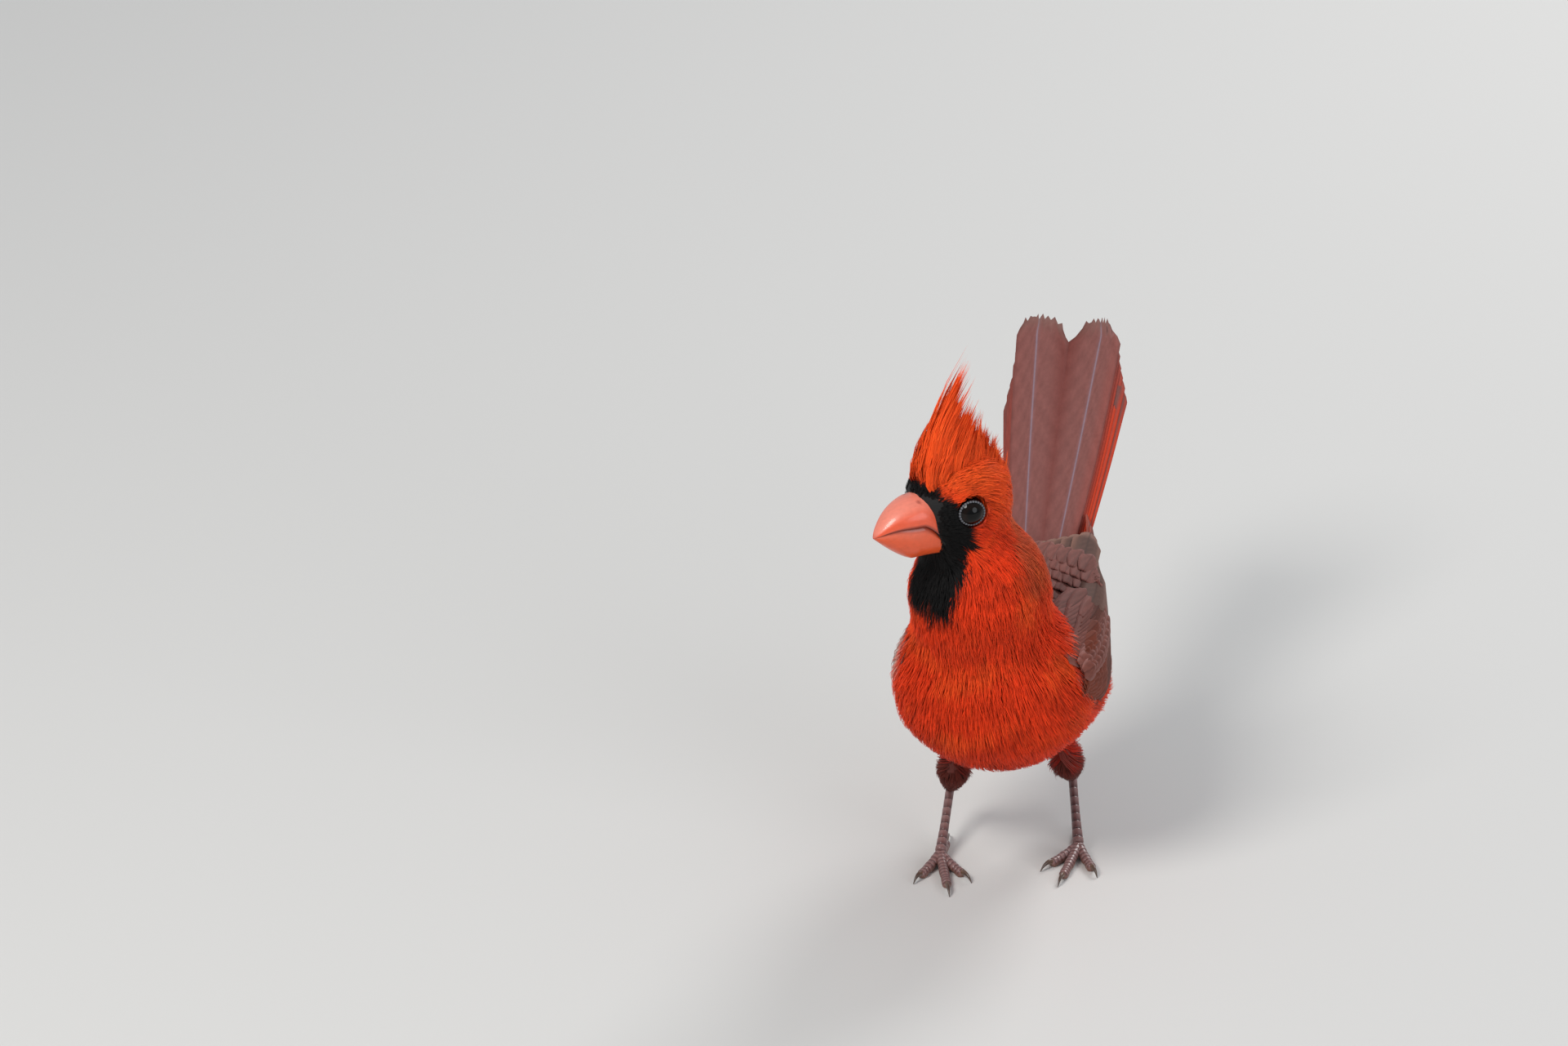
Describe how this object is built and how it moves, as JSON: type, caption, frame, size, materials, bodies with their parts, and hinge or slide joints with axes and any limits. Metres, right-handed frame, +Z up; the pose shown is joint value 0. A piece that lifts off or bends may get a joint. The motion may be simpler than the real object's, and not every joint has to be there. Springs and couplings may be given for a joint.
{
  "type": "northern cardinal figure",
  "caption": "Life-size still model of a male crested red songbird, standing with its head turned and its long tail raised behind.",
  "frame": {"origin": "centre of the bounding box's bottom, on the ground the feet stand on", "axes": "+Z up, the bird faces -Y, its left is +X, and its tail points to +Y"},
  "size_m": [0.0568, 0.1598, 0.1525],
  "materials": {
    "body_feathers": "soft red feathers",
    "flight_feathers": "dull rose-brown feathers",
    "bill_horn": "smooth coral-red horn",
    "claw_horn": "dark brown horn",
    "leg_skin": "purplish-brown scales",
    "eye": "wet dark brown"
  },
  "bodies": {
    "root": {"bill_lower": "bill_horn", "bill_upper": "bill_horn", "claw_hind_left": "claw_horn", "claw_hind_right": "claw_horn", "claw_inner_left": "claw_horn", "claw_inner_right": "claw_horn", "claw_middle_left": "claw_horn", "claw_middle_right": "claw_horn", "claw_outer_left": "claw_horn", "claw_outer_right": "claw_horn", "crest": "body_feathers", "eye_left": "eye", "eye_right": "eye", "head": "body_feathers", "neck": "body_feathers", "tail": "flight_feathers", "tarsus_left": "leg_skin", "tarsus_right": "leg_skin", "thigh_left": "body_feathers", "thigh_right": "body_feathers", "toe_hind_left": "leg_skin", "toe_hind_right": "leg_skin", "toe_inner_left": "leg_skin", "toe_inner_right": "leg_skin", "toe_middle_left": "leg_skin", "toe_middle_right": "leg_skin", "toe_outer_left": "leg_skin", "toe_outer_right": "leg_skin", "trunk": "body_feathers", "wing_left": "flight_feathers", "wing_right": "flight_feathers"}
  },
  "joints": []
}
